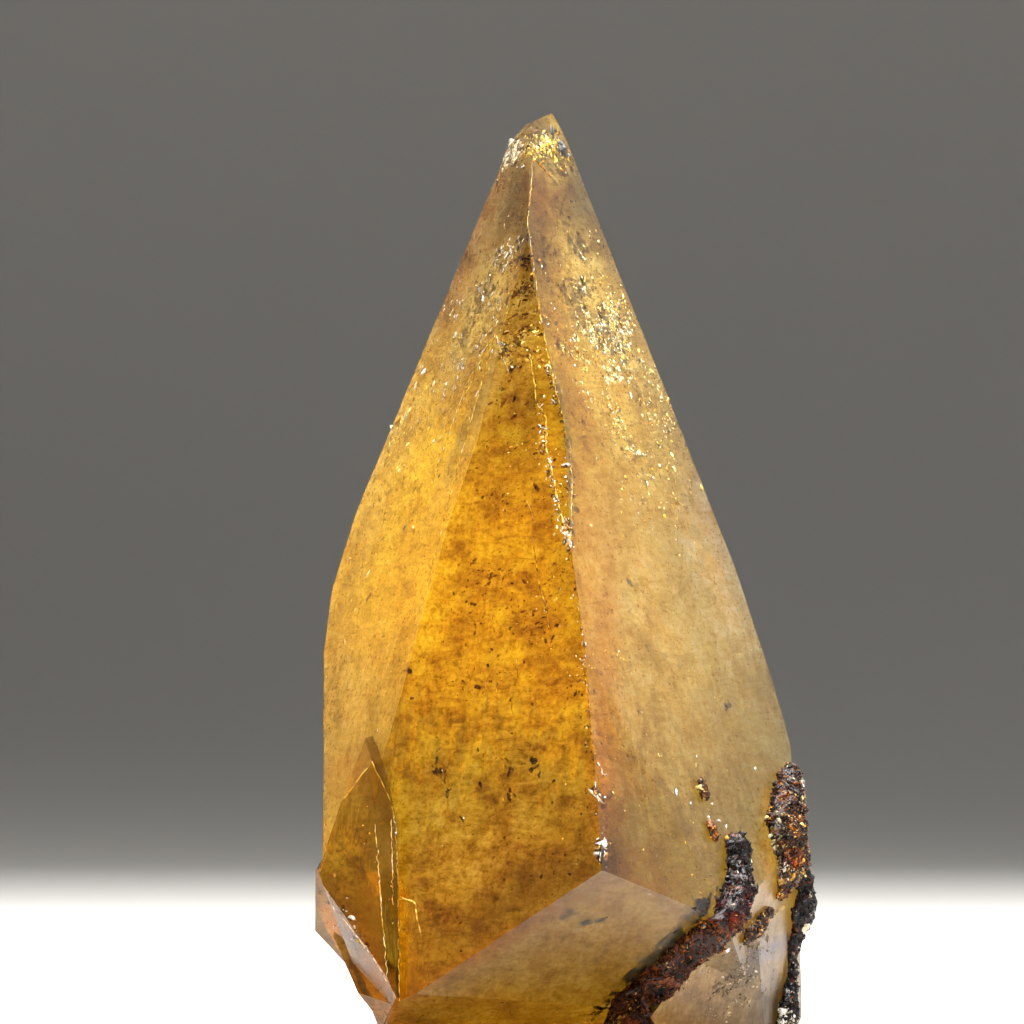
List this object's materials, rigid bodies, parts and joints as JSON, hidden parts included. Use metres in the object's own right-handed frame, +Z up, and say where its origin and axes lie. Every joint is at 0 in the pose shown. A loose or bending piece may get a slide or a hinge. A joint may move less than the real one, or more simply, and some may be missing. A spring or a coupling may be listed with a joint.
{
  "type": "golden calcite crystal",
  "caption": "Tall pointed golden calcite crystal with a small side crystal and dark sphalerite at its foot, cut flat to stand on.",
  "frame": {"origin": "on the flat cut at the bottom, under the middle of the specimen's bounding box", "axes": "+Z up along the crystal towards its point, -Y towards the front with the long sharp ridge, +X towards the sphalerite"},
  "size_m": [0.0652, 0.0638, 0.1202],
  "materials": {
    "calcite": "see-through golden calcite, glassy faces with fine growth marks, cloudy towards the foot",
    "sphalerite": "near-black brown sphalerite, small bright faces",
    "red_sphalerite": "red-brown sphalerite, small bright faces",
    "orange_sphalerite": "orange-brown sphalerite, small bright faces"
  },
  "bodies": {
    "root": {"calcite_crystal": "calcite", "sphalerite_band": "sphalerite", "sphalerite_cluster": "sphalerite", "sphalerite_rim": "sphalerite", "sphalerite_rod": "red_sphalerite", "sphalerite_grain_upper": "red_sphalerite", "sphalerite_grain_lower": "orange_sphalerite"}
  },
  "joints": []
}
